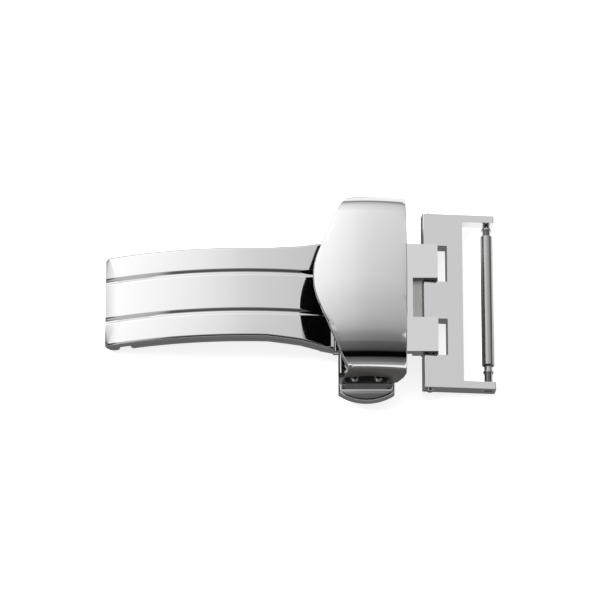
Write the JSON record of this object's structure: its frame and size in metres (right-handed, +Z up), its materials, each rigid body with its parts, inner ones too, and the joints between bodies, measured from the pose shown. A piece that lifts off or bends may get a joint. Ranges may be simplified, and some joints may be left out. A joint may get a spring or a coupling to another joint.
{
  "type": "deployant watch clasp",
  "caption": "Curved folding watch-strap clasp: nested arched blades, a domed cover over a strap tunnel, side push buttons and an end link that holds a spring bar.",
  "frame": {"origin": "middle of the bounding box's base, with the clasp closed and lying on its two ends", "axes": "+X along the clasp from the blade hinge to the spring bar, +Y across it, +Z up, away from the wrist"},
  "size_m": [0.0412, 0.0228, 0.0101],
  "materials": {
    "polished_steel": "mirror-polished stainless steel",
    "satin_steel": "satin stainless steel",
    "pin_steel": "polished steel pins and rivets",
    "spring_steel": "spring steel"
  },
  "bodies": {
    "inner": {"inner_blade": "polished_steel"},
    "outer": {"outer_blade": "polished_steel", "blade_pin": "pin_steel", "latch_frame": "satin_steel", "frame_rivets": "pin_steel", "strap_peg": "pin_steel", "cover": "polished_steel", "cover_rivet_back": "pin_steel", "cover_rivet_front": "pin_steel", "button_springs_back": "spring_steel", "button_springs_front": "spring_steel"},
    "back_button": {"button_back": "polished_steel", "hook_back": "satin_steel", "hook_rivets_back": "pin_steel"},
    "front_button": {"button_front": "polished_steel", "hook_front": "satin_steel", "hook_rivets_front": "pin_steel"},
    "link": {"end_link": "polished_steel", "link_pin": "pin_steel"},
    "bar": {"bar_tube": "satin_steel", "bar_spring": "spring_steel"},
    "back_tip": {"bar_tip_back": "satin_steel"},
    "front_tip": {"bar_tip_front": "satin_steel"}
  },
  "joints": [
    {"name": "blade_hinge", "type": "hinge", "parent": "inner", "child": "outer", "pos_m": [-0.01967, 0, 0.00062], "axis": [0, -1, 0], "range_deg": [0, 165]},
    {"name": "link_hinge", "type": "hinge", "parent": "inner", "child": "link", "pos_m": [0.01363, 0, 0.0015], "axis": [0, 1, 0], "range_deg": [-60, 75]},
    {"name": "back_button_slide", "type": "slide", "parent": "outer", "child": "back_button", "axis": [0, -1, 0], "range_m": [0, 0.0006], "stiffness_N_per_m": 400, "springref_m": -0.0004, "deforming": ["button_springs_back"]},
    {"name": "front_button_slide", "type": "slide", "parent": "outer", "child": "front_button", "axis": [0, 1, 0], "range_m": [0, 0.0006], "stiffness_N_per_m": 400, "springref_m": -0.0004, "deforming": ["button_springs_front"]},
    {"name": "bar_spin", "type": "hinge", "parent": "link", "child": "bar", "pos_m": [0.0198, 0, 0.00088], "axis": [0, 1, 0], "continuous": true},
    {"name": "back_tip_slide", "type": "slide", "parent": "bar", "child": "back_tip", "axis": [0, -1, 0], "range_m": [0, 0.0006], "stiffness_N_per_m": 400, "springref_m": -0.0004, "deforming": ["bar_spring"]},
    {"name": "front_tip_slide", "type": "slide", "parent": "bar", "child": "front_tip", "axis": [0, 1, 0], "range_m": [0, 0.0006], "stiffness_N_per_m": 400, "springref_m": -0.0004, "deforming": ["bar_spring"]}
  ]
}
